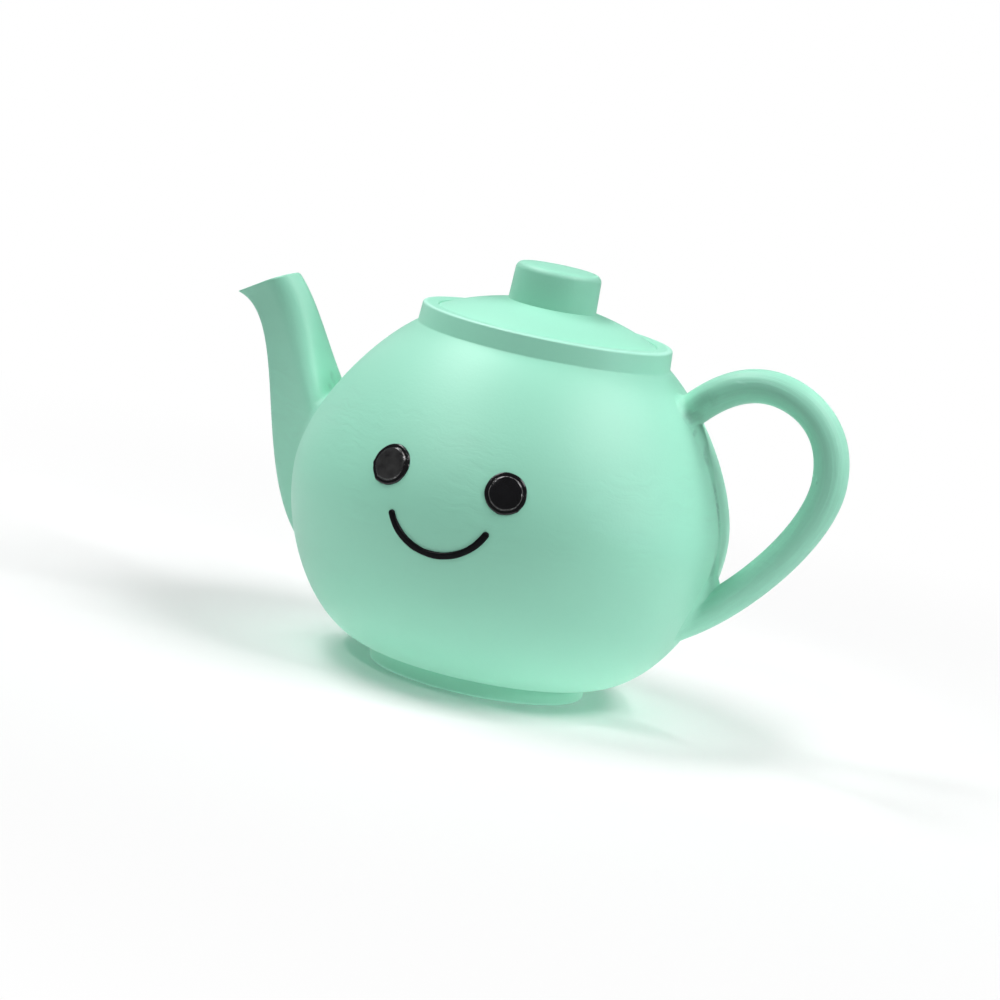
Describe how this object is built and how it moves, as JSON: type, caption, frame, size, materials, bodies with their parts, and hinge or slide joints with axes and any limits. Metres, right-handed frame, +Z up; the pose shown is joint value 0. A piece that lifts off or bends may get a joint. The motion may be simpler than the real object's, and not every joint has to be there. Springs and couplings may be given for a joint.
{
  "type": "squeaky teapot dog toy",
  "caption": "Hollow latex teapot dog toy with a round pot, lid and knob, hollow spout, loop handle, a raised smiling face and a reed squeaker in its base.",
  "frame": {"origin": "on the surface that the foot stands on, under the middle of the overall length and width", "axes": "+Z up along the pot's axis, +X from the spout towards the handle, -Y towards the face"},
  "size_m": [0.1484, 0.0986, 0.094],
  "materials": {
    "latex": "matte mint-green latex",
    "paint": "thick glossy black paint",
    "squeaker_plastic": "plain white moulded plastic",
    "reed_film": "thin clear-yellow film"
  },
  "bodies": {
    "pot": {"pot_shell": "latex", "spout": "latex", "handle": "latex", "eye_left": "paint", "eye_right": "paint", "mouth": "paint", "squeaker_housing": "squeaker_plastic", "squeaker_cap": "squeaker_plastic", "reed_seat": "squeaker_plastic", "reed_wedge": "squeaker_plastic"},
    "lid": {"lid": "latex"},
    "reed": {"reed": "reed_film"}
  },
  "joints": [
    {"name": "squeeze", "type": "slide", "parent": "pot", "child": "lid", "axis": [0, 0, -1], "range_m": [0, 0.015], "stiffness_N_per_m": 1200, "deforming": ["pot_shell"]},
    {"name": "reed_flex", "type": "hinge", "parent": "pot", "child": "reed", "pos_m": [0.00015, 0, 0.0083], "axis": [1, 0, 0], "range_deg": [-4, 4], "stiffness_Nm_per_rad": 0.0008}
  ]
}
